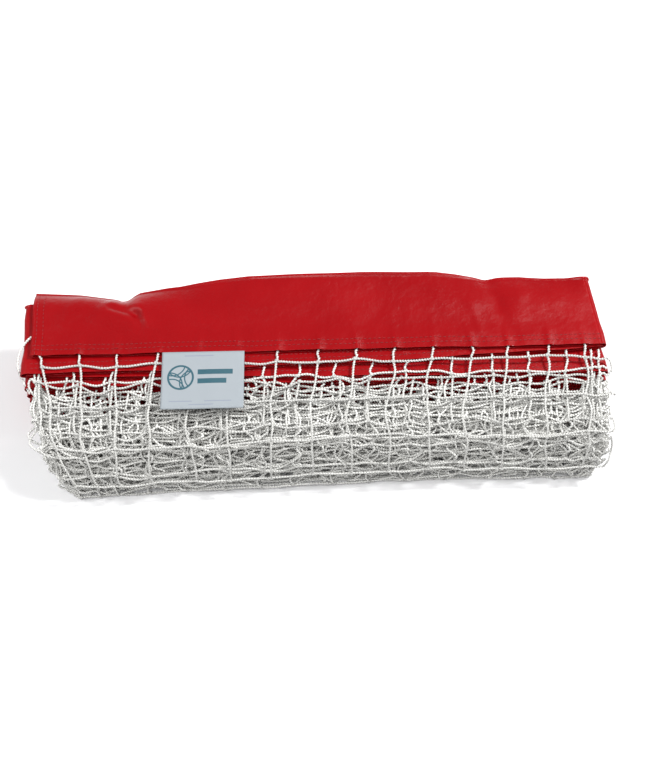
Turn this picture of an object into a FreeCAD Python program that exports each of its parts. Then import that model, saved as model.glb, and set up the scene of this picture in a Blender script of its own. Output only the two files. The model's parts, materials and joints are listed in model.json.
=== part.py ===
"""Folded volleyball net: a vinyl headband folded back and forth into a stack, with its netting gathered in front.

Frame: +Z up, X along the stack, the netting towards -Y, origin at the centre of the bottom of the bundle.
All sizes are in millimetres and are kept in the spreadsheet "Sizes".
"""
import FreeCAD, Part
import math
import os

import Sketcher

Vector = FreeCAD.Vector
Rotation = FreeCAD.Rotation

# Driving dimensions: alias, value, what it is.
DIMENSIONS = [
    ("panel_length", 562.0, "length of one fold of the headband between its two turns"),
    ("panel_count", 17, "folds in the stack, the front one included; an odd number"),
    ("free_end_setback", 4.0, "how far the front fold stops short of the turns beside it"),
    ("opening_gap", 0.3, "front fold's other end short of the first turn, which opens there"),
    ("band_height", 85.0, "hem to top edge of the headband"),
    ("vinyl_thickness", 0.7, "one layer of coated fabric"),
    ("sheet_gap", 0.4, "space between the two layers of the headband"),
    ("layer_clearance", 0.35, "space between one fold and the next, at the rope"),
    ("hem_depth", 18.0, "part of the headband that grips the netting"),
    ("hem_taper", 6.0, "length over which the hem thins to the plain headband"),
    ("stack_lean", 30.0, "how far the lower folds stand out towards the netting"),
    ("lean_rate", 0.9, "how fast the folds reach that, from turn to turn"),
    ("rope_diameter", 3.0, "head rope in the top edge of the headband"),
    ("rope_clearance", 0.05, "radial space round the head rope"),
    ("cord_diameter", 2.8, "twisted cord of the netting"),
    ("cord_clearance", 0.05, "space each side of the netting in the hem"),
    ("selvedge_inset", 9.0, "selvedge cord's centre behind the hem's edge"),
    ("thread_width", 0.7, "width of one row of stitches"),
    ("thread_rise", 0.3, "height of the stitches over the vinyl"),
    ("seam_inset", 6.0, "lower row of stitches behind the hem's edge"),
    ("seam_spacing", 5.0, "lower row to upper row of stitches"),
    ("end_seam_inset", 8.0, "outer row of stitches from the free end"),
    ("netting_depth", 108.0, "hem to the nose of the gathered netting"),
    ("netting_side_gap", 1.0, "netting's end short of the turns' axis"),
    ("netting_slope", 14.0, "fall of the netting's top, in degrees"),
    ("knee_drop", 1.4, "fall of the front ply over the second fold's hem"),
    ("foot_level", 15.0, "height where the nose runs straight down"),
    ("ply_thickness", 7.0, "front ply of netting, as gathered"),
    ("ply_gap", 0.5, "space between the front ply and the rest"),
    ("tongue_depth", 5.5, "part of the front ply that lies in the hem"),
    ("hem_gap", 3.0, "space between the hems and the gathered netting"),
    ("left_cut_length", 52.0, "left front corner taken off, along the length"),
    ("left_cut_depth", 46.0, "left front corner taken off, along the depth"),
    ("right_cut", 14.0, "right front corner taken off, both ways"),
    ("label_width", 80.0, "sewn label"),
    ("label_height", 60.0, "sewn label, hem to free edge"),
    ("label_thickness", 0.35, "sewn label"),
    ("label_centre", -109.0, "label's centre along the length"),
    ("label_clearance", 0.6, "space between the label and the front ply where it bends"),
    ("label_gap", 0.6, "label's sewn edge in front of the hem"),
    ("label_lift", 0.5, "label's sewn edge over the hem's top"),
]

# Sizes worked out from the driving ones: alias, formula, what it is.
DERIVED = [
    ("bead_bore", "=rope_diameter / 2 + rope_clearance", "radius of the rope's sleeve"),
    ("bead_radius", "=bead_bore + vinyl_thickness", "outside radius of the top edge"),
    ("bead_centre", "=band_height - bead_radius", "rope's centre behind the hem"),
    ("web_inner", "=sheet_gap / 2", "half the space between the layers"),
    ("web_outer", "=web_inner + vinyl_thickness", "half the plain headband's thickness"),
    ("hem_inner", "=cord_diameter / 2 + cord_clearance", "half the space in the hem"),
    ("hem_outer", "=hem_inner + vinyl_thickness", "half the hem's thickness"),
    ("taper_end", "=hem_depth + hem_taper", "where the plain headband starts"),
    ("half_height", "=max(bead_radius; hem_outer + thread_rise)", "half of one fold's room"),
    ("pitch", "=2 * half_height + layer_clearance", "height from one fold to the next"),
    ("rest_height", "=max(bead_radius; hem_outer)", "lowest fold's middle over the floor"),
    ("front_level", "=rest_height + (panel_count - 1) * pitch", "height of the front fold"),
    ("axis_level", "=front_level - pitch / 2", "height of the first turn's axis"),
    ("hem_line", "=(netting_depth - band_height) / 2", "hem of the front fold, along Y"),
    ("half_length", "=panel_length / 2", "the turns' axes from the middle"),
    ("front_end", "=half_length - free_end_setback", "free end of the front fold"),
    ("netting_end", "=half_length - netting_side_gap", "end of the netting"),
    ("tongue_half", "=cord_diameter / 2 - 0.1", "half the tongue's thickness"),
    ("knee_depth", "=stack_lean * (1 - exp(-lean_rate)) + hem_gap",
     "where the front ply has cleared the second fold's hem"),
    ("netting_back", "=stack_lean + hem_gap", "back of the gathered netting before the hem"),
    ("knee_level", "=front_level + tongue_half - knee_drop", "height of the ply's top there"),
    ("nose_radius", "=(knee_level - foot_level - (netting_depth - knee_depth)"
     " * tan(netting_slope * 1deg)) / (cos(netting_slope * 1deg)"
     " - (1 - sin(netting_slope * 1deg)) * tan(netting_slope * 1deg))",
     "radius of the gathered netting's nose, between the sloping top and the foot"),
    ("nose_centre", "=nose_radius - netting_depth", "nose centre in front of the hem"),
    ("label_level", "=front_level + hem_outer + label_lift", "height of the label's sewn edge"),
    ("label_slope", "=atan((label_level - knee_level - label_clearance) / knee_depth) / 1deg",
     "fall of the label from the hem, in degrees"),
]


def number(sheet, alias):
    """A cell's value as a plain number."""
    value = sheet.get(alias)
    return float(getattr(value, "Value", value))


def make_sheet(doc):
    """The spreadsheet that holds every size."""
    sheet = doc.addObject("Spreadsheet::Sheet", "Sizes")
    for row, (alias, content, note) in enumerate(DIMENSIONS + DERIVED, start=1):
        sheet.set(f"A{row}", alias)
        sheet.set(f"B{row}", str(content))
        sheet.set(f"C{row}", note)
        sheet.setAlias(f"B{row}", alias)
    doc.addObject("Spreadsheet::Sheet", "Workings")
    doc.recompute()
    return sheet


def worth(sheet, formula):
    """A formula worked out as a plain number, in the spare sheet's only cell."""
    workings = sheet.Document.getObject("Workings")
    workings.set("A1", "=" + formula)
    workings.recompute()
    return number(workings, "A1")


class Outline:
    """A closed sketch outline whose corners are tied to formulas in the sheet."""

    def __init__(self, sketch, sheet):
        self.sketch = sketch
        self.sheet = sheet
        self.ends = []

    def _tie(self, kind, index, place, formula):
        """Holds one coordinate of a point at a formula's value."""
        value = worth(self.sheet, formula)
        constraint = self.sketch.addConstraint(
            Sketcher.Constraint(kind, -1, 1, index, place, value))
        self.sketch.setExpression(f"Constraints[{constraint}]", formula)

    def line(self, start, end, tie_start="xy", tie_end=""):
        """A straight edge; the coordinates named in tie_start and tie_end are held."""
        a = Vector(*[worth(self.sheet, f) for f in start], 0)
        b = Vector(*[worth(self.sheet, f) for f in end], 0)
        index = self.sketch.addGeometry(Part.LineSegment(a, b), False)
        for place, point, tied in ((1, start, tie_start), (2, end, tie_end)):
            for letter, kind, formula in zip("xy", ("DistanceX", "DistanceY"), point):
                if letter in tied:
                    self._tie(kind, index, place, formula)
        self.ends.append((index, 1, 2))

    def lines(self, points, tie_start="xy", tie_end=""):
        """Straight edges through several points; the ties are the first and last ones'."""
        last = len(points) - 2
        for i, (start, end) in enumerate(zip(points, points[1:])):
            self.line(start, end, tie_start if i == 0 else "xy", tie_end if i == last else "")

    def arc(self, centre, radius, start_angle, end_angle, forward=True):
        """A round edge about a tied centre; each end needs one tie from its neighbour."""
        c = Vector(*[worth(self.sheet, f) for f in centre], 0)
        circle = Part.Circle(c, Vector(0, 0, 1), worth(self.sheet, radius))
        index = self.sketch.addGeometry(
            Part.ArcOfCircle(circle, start_angle, end_angle), False)
        for kind, formula in zip(("DistanceX", "DistanceY"), centre):
            self._tie(kind, index, 3, formula)
        held = self.sketch.addConstraint(
            Sketcher.Constraint("Radius", index, worth(self.sheet, radius)))
        self.sketch.setExpression(f"Constraints[{held}]", radius)
        self.ends.append((index, 1, 2) if forward else (index, 2, 1))

    def close(self):
        """Joins each edge's end to the next edge's start."""
        for this, following in zip(self.ends, self.ends[1:] + self.ends[:1]):
            self.sketch.addConstraint(
                Sketcher.Constraint("Coincident", this[0], this[2], following[0], following[1]))


def side_sketch(doc, name):
    """A free sketch in the YZ plane: its x runs along +Y and its y along +Z."""
    sketch = doc.addObject("Sketcher::SketchObject", name)
    sketch.Placement = FreeCAD.Placement(Vector(0, 0, 0), Rotation(0.5, 0.5, 0.5, 0.5))
    return sketch


def body_sketch(body, name, role):
    """A sketch on one of a body's own origin planes."""
    sketch = body.newObject("Sketcher::SketchObject", name)
    plane = [f for f in body.Origin.OriginFeatures if f.Role == role][0]
    sketch.AttachmentSupport = [(plane, "")]
    sketch.MapMode = "FlatFace"
    return sketch


def bind(target, **formulas):
    """Binds properties to formulas; a double underscore in a key stands for the path's dot."""
    for path, formula in formulas.items():
        target.setExpression(path.replace("__", "."), formula)


def band_profile(doc, sheet):
    """The headband's cross-section: one sheet folded round the rope, open at the hem."""
    sketch = side_sketch(doc, "BandProfile")
    outline = Outline(sketch, sheet)
    bead = ("Sizes.bead_centre", "0")
    size = {a: worth(sheet, f"Sizes.{a}") for a in (
        "bead_radius", "bead_bore", "web_outer", "web_inner", "bead_centre")}
    outer_angle = math.pi - math.asin(size["web_outer"] / size["bead_radius"])
    inner_angle = math.pi - math.asin(size["web_inner"] / size["bead_bore"])
    outer_reach = f"{size['bead_centre'] + size['bead_radius'] * math.cos(outer_angle)}"
    inner_reach = f"{size['bead_centre'] + size['bead_bore'] * math.cos(inner_angle)}"

    def half_points(hem_half, web_half, reach, side):
        """Corners from the hem to the rope's sleeve on one side of the fold's middle."""
        return [
            ("0", f"{side}Sizes.{hem_half}"),
            ("Sizes.hem_depth", f"{side}Sizes.{hem_half}"),
            ("Sizes.taper_end", f"{side}Sizes.{web_half}"),
            (reach, f"{side}Sizes.{web_half}"),
        ]

    outer_top = half_points("hem_outer", "web_outer", outer_reach, "")
    outer_bottom = half_points("hem_outer", "web_outer", outer_reach, "-")
    inner_top = half_points("hem_inner", "web_inner", inner_reach, "")
    inner_bottom = half_points("hem_inner", "web_inner", inner_reach, "-")
    outline.lines(outer_top, tie_end="y")
    outline.arc(bead, "Sizes.bead_radius", -outer_angle, outer_angle, forward=False)
    outline.lines(outer_bottom[::-1] + inner_bottom[:1], tie_start="y")
    outline.lines(inner_bottom, tie_end="y")
    outline.arc(bead, "Sizes.bead_bore", -inner_angle, inner_angle)
    outline.lines(inner_top[::-1] + outer_top[:1], tie_start="y")
    outline.close()
    return sketch


def round_profile(doc, sheet, name, centre, radius):
    """A round cord's cross-section, its centre on the fold's middle."""
    sketch = side_sketch(doc, name)
    at = Vector(worth(sheet, centre), 0, 0)
    circle = sketch.addGeometry(
        Part.Circle(at, Vector(0, 0, 1), worth(sheet, radius)), False)
    for kind, formula in (("DistanceX", centre), ("DistanceY", "0")):
        index = sketch.addConstraint(
            Sketcher.Constraint(kind, -1, 1, circle, 3, worth(sheet, formula)))
        sketch.setExpression(f"Constraints[{index}]", formula)
    index = sketch.addConstraint(
        Sketcher.Constraint("Radius", circle, worth(sheet, radius)))
    sketch.setExpression(f"Constraints[{index}]", radius)
    return sketch


class Stack:
    """The folds of the headband: where each one starts, ends and turns."""

    def __init__(self, doc, sheet):
        self.doc = doc
        self.sheet = sheet
        self.count = int(worth(sheet, "Sizes.panel_count"))

    def place(self, turn):
        """X and Y formulas of a turn's axis; turn 0 and the last one are the free ends."""
        side = "" if turn % 2 else "-"
        end = "front_end" if turn in (0, self.count) else "half_length"
        lean = f"Sizes.stack_lean * (1 - exp(-Sizes.lean_rate * {max(turn - 1, 0)}))"
        return f"{side}Sizes.{end}", f"Sizes.hem_line - {lean}"

    def level(self, fold):
        """Height formula of a fold's middle; fold 1 is the front one."""
        return f"Sizes.front_level - {fold - 1} * Sizes.pitch"

    def run(self, name, profile, fold):
        """A profile carried along one fold; the front one stops short of the first turn."""
        (x0, y0), (x1, y1) = self.place(fold - 1), self.place(fold)
        run = self.doc.addObject("Part::Extrusion", f"{name}Run{fold}")
        run.Base = profile
        run.DirMode = "Custom"
        run.Dir = Vector(1, 0, 0)
        run.Solid = True
        gap = " - Sizes.opening_gap" if fold == 1 else ""
        bind(run, Dir__x=f"{x1} - ({x0}){gap}", Dir__y=f"{y1} - ({y0})",
             Placement__Base__x=x0, Placement__Base__y=y0,
             Placement__Base__z=self.level(fold))
        return run

    def turn(self, name, profile, turn):
        """A profile carried round the half turn from one fold down to the next."""
        x, y = self.place(turn)
        bend = self.doc.addObject("Part::Revolution", f"{name}Turn{turn}")
        bend.Source = profile
        bend.Axis = Vector(0, 1 if turn % 2 else -1, 0)
        bend.Base = Vector(0, 0, 0)
        bend.Angle = 180
        bend.Solid = True
        bind(bend, Base__z="-Sizes.pitch / 2", Placement__Base__x=x,
             Placement__Base__y=y, Placement__Base__z=self.level(turn))
        return bend

    def strip(self, label, name, profile):
        """All folds under the front one and the turns between them, as one piece."""
        pieces = [self.run(name, profile, fold) for fold in range(2, self.count + 1)]
        pieces += [self.turn(name, profile, turn) for turn in range(2, self.count)]
        return join(self.doc, label, "Part::MultiFuse", pieces)


def join(doc, label, kind, pieces):
    """Several shapes as one labelled object, fused or kept as separate solids."""
    made = doc.addObject(kind, "".join(word.title() for word in label.split("_")))
    if kind == "Part::Compound":
        made.Links = pieces
    else:
        made.Shapes = pieces
    made.Label = label
    return made


def relabel(made, label):
    """Gives a sub-part the name that its file takes."""
    made.Label = label
    return made


def make_headband(stack, profiles):
    """The headband, its rope and the netting's selvedge cord, front fold, first turn and rest."""
    made = []
    for name, (stem, profile) in profiles.items():
        front = stack.run(stem, profile, 1)
        made.append(relabel(front, f"{name}_front"))
        made.append(relabel(stack.turn(stem, profile, 1), f"{name}_first_turn"))
        made.append(stack.strip(f"{name}_stack", stem, profile))
    return made


def thread_profile(doc, sheet):
    """The cross-section of a hem's two rows of stitches, standing on its upper layer."""
    sketch = side_sketch(doc, "ThreadProfile")
    low, high = "Sizes.hem_outer", "Sizes.hem_outer + Sizes.thread_rise"
    for inset in ("Sizes.seam_inset", "Sizes.seam_inset + Sizes.seam_spacing"):
        outline = Outline(sketch, sheet)
        near, far = (f"{inset} {side} Sizes.thread_width / 2" for side in "-+")
        corners = [(near, low), (far, low), (far, high), (near, high)]
        outline.lines(corners + corners[:1])
        outline.close()
    return sketch


def make_hem_threads(stack, profile):
    """The stitches along the front hem and along every hem under it."""
    front = relabel(stack.run("Thread", profile, 1), "hem_thread_front")
    rows = [stack.run("Thread", profile, fold) for fold in range(2, stack.count + 1)]
    return [front, join(stack.doc, "hem_thread_stack", "Part::Compound", rows)]


def make_end_thread(doc):
    """Two rows of stitches across the front fold's free end, behind the hem's own rows."""
    rows = []
    for row in range(2):
        strip = doc.addObject("Part::Box", f"EndThread{row}")
        bind(strip, Length="Sizes.thread_width", Height="Sizes.thread_rise",
             Width="Sizes.bead_centre - Sizes.bead_radius - Sizes.taper_end - 1",
             Placement__Base__x="-Sizes.front_end + Sizes.end_seam_inset"
                                f" + {row} * Sizes.seam_spacing",
             Placement__Base__y="Sizes.hem_line + Sizes.taper_end + 0.5",
             Placement__Base__z="Sizes.front_level + Sizes.web_outer")
        rows.append(strip)
    return join(doc, "end_thread_front", "Part::Compound", rows)


def nose_arc(outline, sheet, inset, forward):
    """The nose's round edge, inset from the netting's outside."""
    slope = math.radians(worth(sheet, "Sizes.netting_slope"))
    outline.arc(("Sizes.nose_centre", "Sizes.foot_level"), f"Sizes.nose_radius - {inset}",
                math.pi / 2 + slope, math.pi, forward=forward)


def netting_body(doc, sheet, label, draw):
    """A netting solid: a side outline carried along X with its two front corners cut off."""
    name = "".join(word.title() for word in label.split("_"))
    body = doc.addObject("PartDesign::Body", name)
    side = body_sketch(body, f"{name}Side", "YZ_Plane")
    draw(Outline(side, sheet), sheet)
    pad = body.newObject("PartDesign::Pad", f"{name}Pad")
    pad.Profile = side
    pad.Midplane = True
    pad.setExpression("Length", "2 * Sizes.netting_end")
    doc.recompute()
    corners = body_sketch(body, f"{name}Corners", "XY_Plane")
    front = "-Sizes.netting_depth - 1"
    for side_name, along, deep in (("-", "left_cut_length", "left_cut_depth"),
                                   ("", "right_cut", "right_cut")):
        end = f"{side_name}(Sizes.netting_end + 1)"
        inward = "-" if side_name == "" else "+"
        outline = Outline(corners, sheet)
        points = [(end, front), (f"{end} {inward} Sizes.{along}", front),
                  (end, f"{front} + Sizes.{deep}")]
        outline.lines(points + points[:1])
        outline.close()
    cut = body.newObject("PartDesign::Pocket", f"{name}Cut")
    cut.Profile = corners
    cut.Type = "ThroughAll"
    cut.Reversed = True
    body.Tip = cut
    body.Label = label
    body.setExpression("Placement.Base.y", "Sizes.hem_line")
    before = pad.Shape.Volume
    doc.recompute()
    if body.Shape.Volume > before - 1:
        raise RuntimeError(f"{label}: the corner cuts removed nothing")
    return body


def slope_point(inset, back=None):
    """A point on the sloping top, moved in by inset: at the nose, or at a place behind it."""
    if back is None:
        return (f"Sizes.nose_centre - (Sizes.nose_radius - {inset}) * sin(Sizes.netting_slope * 1deg)",
                f"Sizes.foot_level + (Sizes.nose_radius - {inset}) * cos(Sizes.netting_slope * 1deg)")
    return (back, f"Sizes.knee_level + ({back} + Sizes.knee_depth)"
                  f" * tan(Sizes.netting_slope * 1deg)"
                  f" - ({inset}) / cos(Sizes.netting_slope * 1deg)")


def draw_front_ply(outline, sheet):
    """The front ply: from its tongue in the hem over the hems below, round the nose and down."""
    deep = "Sizes.ply_thickness"
    tongue_top = ("Sizes.tongue_depth", "Sizes.front_level + Sizes.tongue_half")
    tongue_low = ("Sizes.tongue_depth", "Sizes.front_level - Sizes.tongue_half")
    under = ("0", "Sizes.front_level - Sizes.tongue_half")
    heel = slope_point(deep, "-Sizes.netting_back")
    knee = ("-Sizes.knee_depth", "Sizes.knee_level")
    low_knee = (knee[0], "Sizes.knee_level - 2 * Sizes.tongue_half")
    lip = ("0", "Sizes.front_level + Sizes.tongue_half")
    corners = [heel, low_knee, under, tongue_low, tongue_top, lip, knee, slope_point("0")]
    outline.lines(corners, tie_end="x")
    nose_arc(outline, sheet, "0", forward=True)
    foot = [(f"Sizes.nose_centre - (Sizes.nose_radius - {inset})", "Sizes.foot_level")
            for inset in ("0", deep)]
    outline.line(*foot, tie_start="y", tie_end="y")
    nose_arc(outline, sheet, deep, forward=False)
    outline.line(slope_point(deep), heel, tie_start="x")
    outline.close()


def draw_bundle(outline, sheet):
    """The rest of the netting: under the front ply, flat on the floor, clear of the hems."""
    inset = "(Sizes.ply_thickness + Sizes.ply_gap)"
    top = slope_point(inset, "-Sizes.netting_back")
    toe = (f"Sizes.nose_centre - (Sizes.nose_radius - {inset})", "0")
    outline.line(top, slope_point(inset), tie_end="x")
    nose_arc(outline, sheet, inset, forward=True)
    outline.lines([(toe[0], "Sizes.foot_level"), toe, (top[0], "0"), top], tie_start="y")
    outline.close()


def make_label(doc):
    """The label: sewn along the front hem, it hangs over the front ply."""
    plate = doc.addObject("Part::Box", "Label")
    plate.Placement.Rotation = Rotation(Vector(1, 0, 0), 1)  # about +X, by the bound angle
    tilt = "Sizes.label_slope * 1deg"
    bind(plate, Length="Sizes.label_width", Width="Sizes.label_height",
         Height="Sizes.label_thickness", Placement__Rotation__Angle="Sizes.label_slope",
         Placement__Base__x="Sizes.label_centre - Sizes.label_width / 2",
         Placement__Base__y="Sizes.hem_line - Sizes.label_gap"
                            f" - Sizes.label_height * cos({tilt})",
         Placement__Base__z=f"Sizes.label_level - Sizes.label_height * sin({tilt})")
    return relabel(plate, "label")


def check(doc, parts):
    """Stops if anything in the document failed, or a sub-part has no valid solid."""
    for made in doc.Objects:
        if "Invalid" in made.State or "Error" in made.State:
            raise RuntimeError(f"{made.Name} failed: {made.State}")
    for made in parts:
        shape = made.Shape
        if shape.isNull() or not shape.isValid() or not shape.Solids:
            raise RuntimeError(f"{made.Label} has no valid solid")


def main():
    doc = FreeCAD.newDocument("folded_net")
    sheet = make_sheet(doc)
    stack = Stack(doc, sheet)
    profiles = {
        "headband": ("Band", band_profile(doc, sheet)),
        "head_rope": ("Rope", round_profile(
            doc, sheet, "RopeProfile", "Sizes.bead_centre", "Sizes.rope_diameter / 2")),
        "selvedge_cord": ("Selvedge", round_profile(
            doc, sheet, "SelvedgeProfile", "Sizes.selvedge_inset", "Sizes.cord_diameter / 2")),
    }
    threads = thread_profile(doc, sheet)
    doc.recompute()
    parts = [netting_body(doc, sheet, "netting_front_ply", draw_front_ply),
             netting_body(doc, sheet, "netting_bundle", draw_bundle)]
    parts += make_headband(stack, profiles)
    parts += make_hem_threads(stack, threads)
    parts += [make_end_thread(doc), make_label(doc)]
    doc.removeObject("Workings")
    doc.recompute()
    check(doc, parts)
    os.makedirs("parts", exist_ok=True)
    for made in parts:
        made.Shape.exportStep(f"parts/{made.Label}.step")
        box = made.Shape.optimalBoundingBox()
        print(f"{made.Label}: {len(made.Shape.Solids)} solids, {made.Shape.Volume:.0f} mm3, "
              f"X {box.XMin:.1f}..{box.XMax:.1f} Y {box.YMin:.1f}..{box.YMax:.1f} "
              f"Z {box.ZMin:.1f}..{box.ZMax:.1f}")


main()
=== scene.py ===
"""A folded volleyball net: vinyl headband, twisted netting, stitches and a sewn label.

Shapes are worked out in millimetres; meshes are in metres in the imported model's frame.
"""
import functools
import json
import math

import bmesh
import bpy
import numpy as np
from bpy.props import FloatProperty, FloatVectorProperty, IntProperty, PointerProperty
from bpy.types import Operator, Panel, PropertyGroup
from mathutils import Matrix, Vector

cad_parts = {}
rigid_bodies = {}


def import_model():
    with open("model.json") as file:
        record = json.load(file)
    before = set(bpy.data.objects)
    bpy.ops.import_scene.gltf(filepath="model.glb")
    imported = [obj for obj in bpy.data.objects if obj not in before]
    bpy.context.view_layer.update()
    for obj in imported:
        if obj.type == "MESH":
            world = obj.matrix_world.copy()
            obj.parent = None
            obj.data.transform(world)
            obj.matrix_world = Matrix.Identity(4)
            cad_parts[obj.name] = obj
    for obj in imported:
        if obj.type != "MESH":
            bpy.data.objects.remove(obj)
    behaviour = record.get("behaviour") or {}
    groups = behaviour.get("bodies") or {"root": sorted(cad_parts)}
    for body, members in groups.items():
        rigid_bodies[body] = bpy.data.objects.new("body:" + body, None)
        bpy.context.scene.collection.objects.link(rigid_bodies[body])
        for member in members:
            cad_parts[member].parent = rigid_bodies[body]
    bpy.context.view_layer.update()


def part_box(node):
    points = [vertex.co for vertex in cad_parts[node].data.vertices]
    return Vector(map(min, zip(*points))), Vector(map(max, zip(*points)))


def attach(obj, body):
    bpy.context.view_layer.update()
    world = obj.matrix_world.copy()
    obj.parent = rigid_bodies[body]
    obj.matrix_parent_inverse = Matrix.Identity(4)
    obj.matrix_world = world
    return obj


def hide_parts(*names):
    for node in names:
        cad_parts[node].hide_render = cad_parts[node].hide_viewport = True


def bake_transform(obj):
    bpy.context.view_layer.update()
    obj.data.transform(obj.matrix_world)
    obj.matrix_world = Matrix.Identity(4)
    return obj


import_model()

bl_info = {
    "name": "Folded Volleyball Net",
    "version": (1, 0, 0),
    "blender": (4, 5, 0),
    "location": "View3D > Sidebar > Net",
    "description": "Builds a folded volleyball net round its packed frame",
    "category": "Object",
}

MM = 0.001
STACK, FRONT, LABEL = "stack", "front_fold", "label"  # the frame's bodies


def millimetres(node):
    """A node's lowest and highest corners in millimetres."""
    low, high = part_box(node)
    return np.array(low) / MM, np.array(high) / MM


BAND_LOW, BAND_HIGH = millimetres("headband_front")
PLY_LOW, PLY_HIGH = millimetres("netting_front_ply")
LABEL_LOW, LABEL_HIGH = millimetres("label")

HEM = BAND_LOW[1]                                     # hem of the front fold, along Y
BAND = BAND_HIGH[1] - HEM                             # hem to top edge
BEAD = (BAND_HIGH[2] - BAND_LOW[2]) / 2               # outside radius of the top edge
LEVEL = (BAND_HIGH[2] + BAND_LOW[2]) / 2              # middle of the front fold
FREE_END, FRONT_END = BAND_LOW[0], BAND_HIGH[0]       # ends of the front fold
TURN_AXIS = millimetres("headband_first_turn")[0][0]  # X of the turns' axes
FOLDS = 17
PITCH = (LEVEL - BEAD) / (FOLDS - 1)                  # one fold to the next
LEAN = HEM - millimetres("headband_stack")[0][1]      # the lower folds stand out by this
LEAN_RATE = 0.9                                       # how soon they do, turn by turn
NOSE = HEM - PLY_LOW[1]                               # hem to the netting's nose
SELVEDGE = 9.0                                        # hem to the cord inside it


# ---------------------------------------------------------------- settings

def size(name, about, default):
    """A length in metres that a user may change."""
    return FloatProperty(name=name, description=about, default=default, min=0.0,
                         subtype="DISTANCE", unit="LENGTH")


def colour(name, about, *default):
    """A colour that a user may change."""
    return FloatVectorProperty(name=name, description=about, default=(*default, 1.0), size=4,
                               min=0.0, max=1.0, subtype="COLOR")


class HeadbandSettings(PropertyGroup):
    """Sizes and colours of the headband."""
    vinyl: size("Vinyl", "Thickness of one layer of coated fabric", 0.0007)
    ridge: size("Ridge", "Rise of the hem over each cord of the netting", 0.0021)
    stitch: size("Stitch", "Length of one stitch", 0.0034)
    stitch_gap: size("Stitch gap", "From one stitch to the next", 0.0012)
    red: colour("Vinyl colour", "Colour of the coated fabric", 0.250, 0.0011, 0.003)
    thread: colour("Thread colour", "Colour of the stitches", 0.26, 0.005, 0.008)


class NettingSettings(PropertyGroup):
    """Sizes and colour of the netting."""
    cord: size("Cord", "Diameter of the twisted cord", 0.0028)
    lay: size("Lay", "Length of one full turn of the strands", 0.0081)
    step: size("Step", "Length of one facet along a cord", 0.00135)
    mesh: size("Mesh", "Side of one square of the netting", 0.0381)
    seed: IntProperty(name="Seed", description="Changes how the netting is gathered", default=7)
    white: colour("Cord colour", "Colour of the netting", 0.97, 0.965, 0.93)


class LabelSettings(PropertyGroup):
    """Colours of the label."""
    ground: colour("Label colour", "Colour of the woven label", 0.276, 0.307, 0.334)
    print: colour("Print colour", "Colour of the printed mark", 0.006, 0.07, 0.10)


class StageSettings(PropertyGroup):
    """The floor and the camera."""
    floor: colour("Floor colour", "Colour of the floor", 0.86, 0.86, 0.87)
    distance: size("Camera distance", "Camera to the middle of the front hem", 1.0)


def settings():
    """The scene's settings, by group."""
    return bpy.context.scene.folded_net


# ---------------------------------------------------------------- mesh helpers

def placed(name, data):
    """A new object in the scene."""
    made = bpy.data.objects.new(name, data)
    bpy.context.scene.collection.objects.link(made)
    return made


def plain_mesh(name, points, faces=()):
    """A smooth mesh object from points in metres."""
    mesh = bpy.data.meshes.new(name)
    mesh.from_pydata(points, [], faces)
    mesh.shade_smooth()
    return placed(name, mesh)


def finish_mesh(name, points, faces, material):
    """A mesh object from points in millimetres, its faces turned outwards."""
    piece = plain_mesh(name, (np.asarray(points, float) * MM).tolist(), faces)
    made = bmesh.new()
    made.from_mesh(piece.data)
    bmesh.ops.recalc_face_normals(made, faces=made.faces)
    made.to_mesh(piece.data)
    made.free()
    piece.data.materials.append(material)
    return piece


def grid_faces(rows, columns, wrap=False, start=0):
    """Quads between neighbouring points of a grid stored row by row."""
    return [(start + i * columns + j, start + i * columns + (j + 1) % columns,
             start + (i + 1) * columns + (j + 1) % columns, start + (i + 1) * columns + j)
            for i in range(rows - 1) for j in range(columns if wrap else columns - 1)]


def folded_strip(name, rings, material):
    """A sheet folded in two lengthwise; each ring runs out along its outside, then back inside."""
    count, around = rings.shape[:2]
    faces = grid_faces(count, around, wrap=True)
    for first in (0, (count - 1) * around):
        faces += [(first + i, first + i + 1, first + around - 2 - i, first + around - 1 - i)
                  for i in range(around // 2 - 1)]
    return finish_mesh(name, rings.reshape(-1, 3), faces, material)


def wave(points, scale, seed):
    """Smooth, repeatable unevenness between about -1 and 1, from a few crossed waves."""
    random = np.random.default_rng(seed)
    total = np.zeros(np.shape(points)[:-1])
    for octave in range(3):
        turn = random.normal(size=np.shape(points)[-1])
        turn /= np.linalg.norm(turn)
        for direction in (turn, np.roll(turn, 1) * np.array([1, -1, 1][:len(turn)])):
            phase = random.uniform(0, 2 * math.pi)
            total += np.sin(points @ direction * (2 * math.pi / scale) * 1.7 ** octave
                            + phase) / 1.7 ** octave
    return total / 3.2


def wave_along(x, scale, seed):
    """The same unevenness along X alone."""
    return wave(np.asarray(x)[..., None], scale, seed)


# ---------------------------------------------------------------- shape of the headband

# X of the front hem's cords, where they leave it.
CORD_X = np.array([-271.6, -231.5, -193.4, -153.4, -114.3, -75.2, -36.1, 3.4,
                   41.0, 78.2, 115.3, 153.4, 188.6, 228.6, 263.8])
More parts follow.
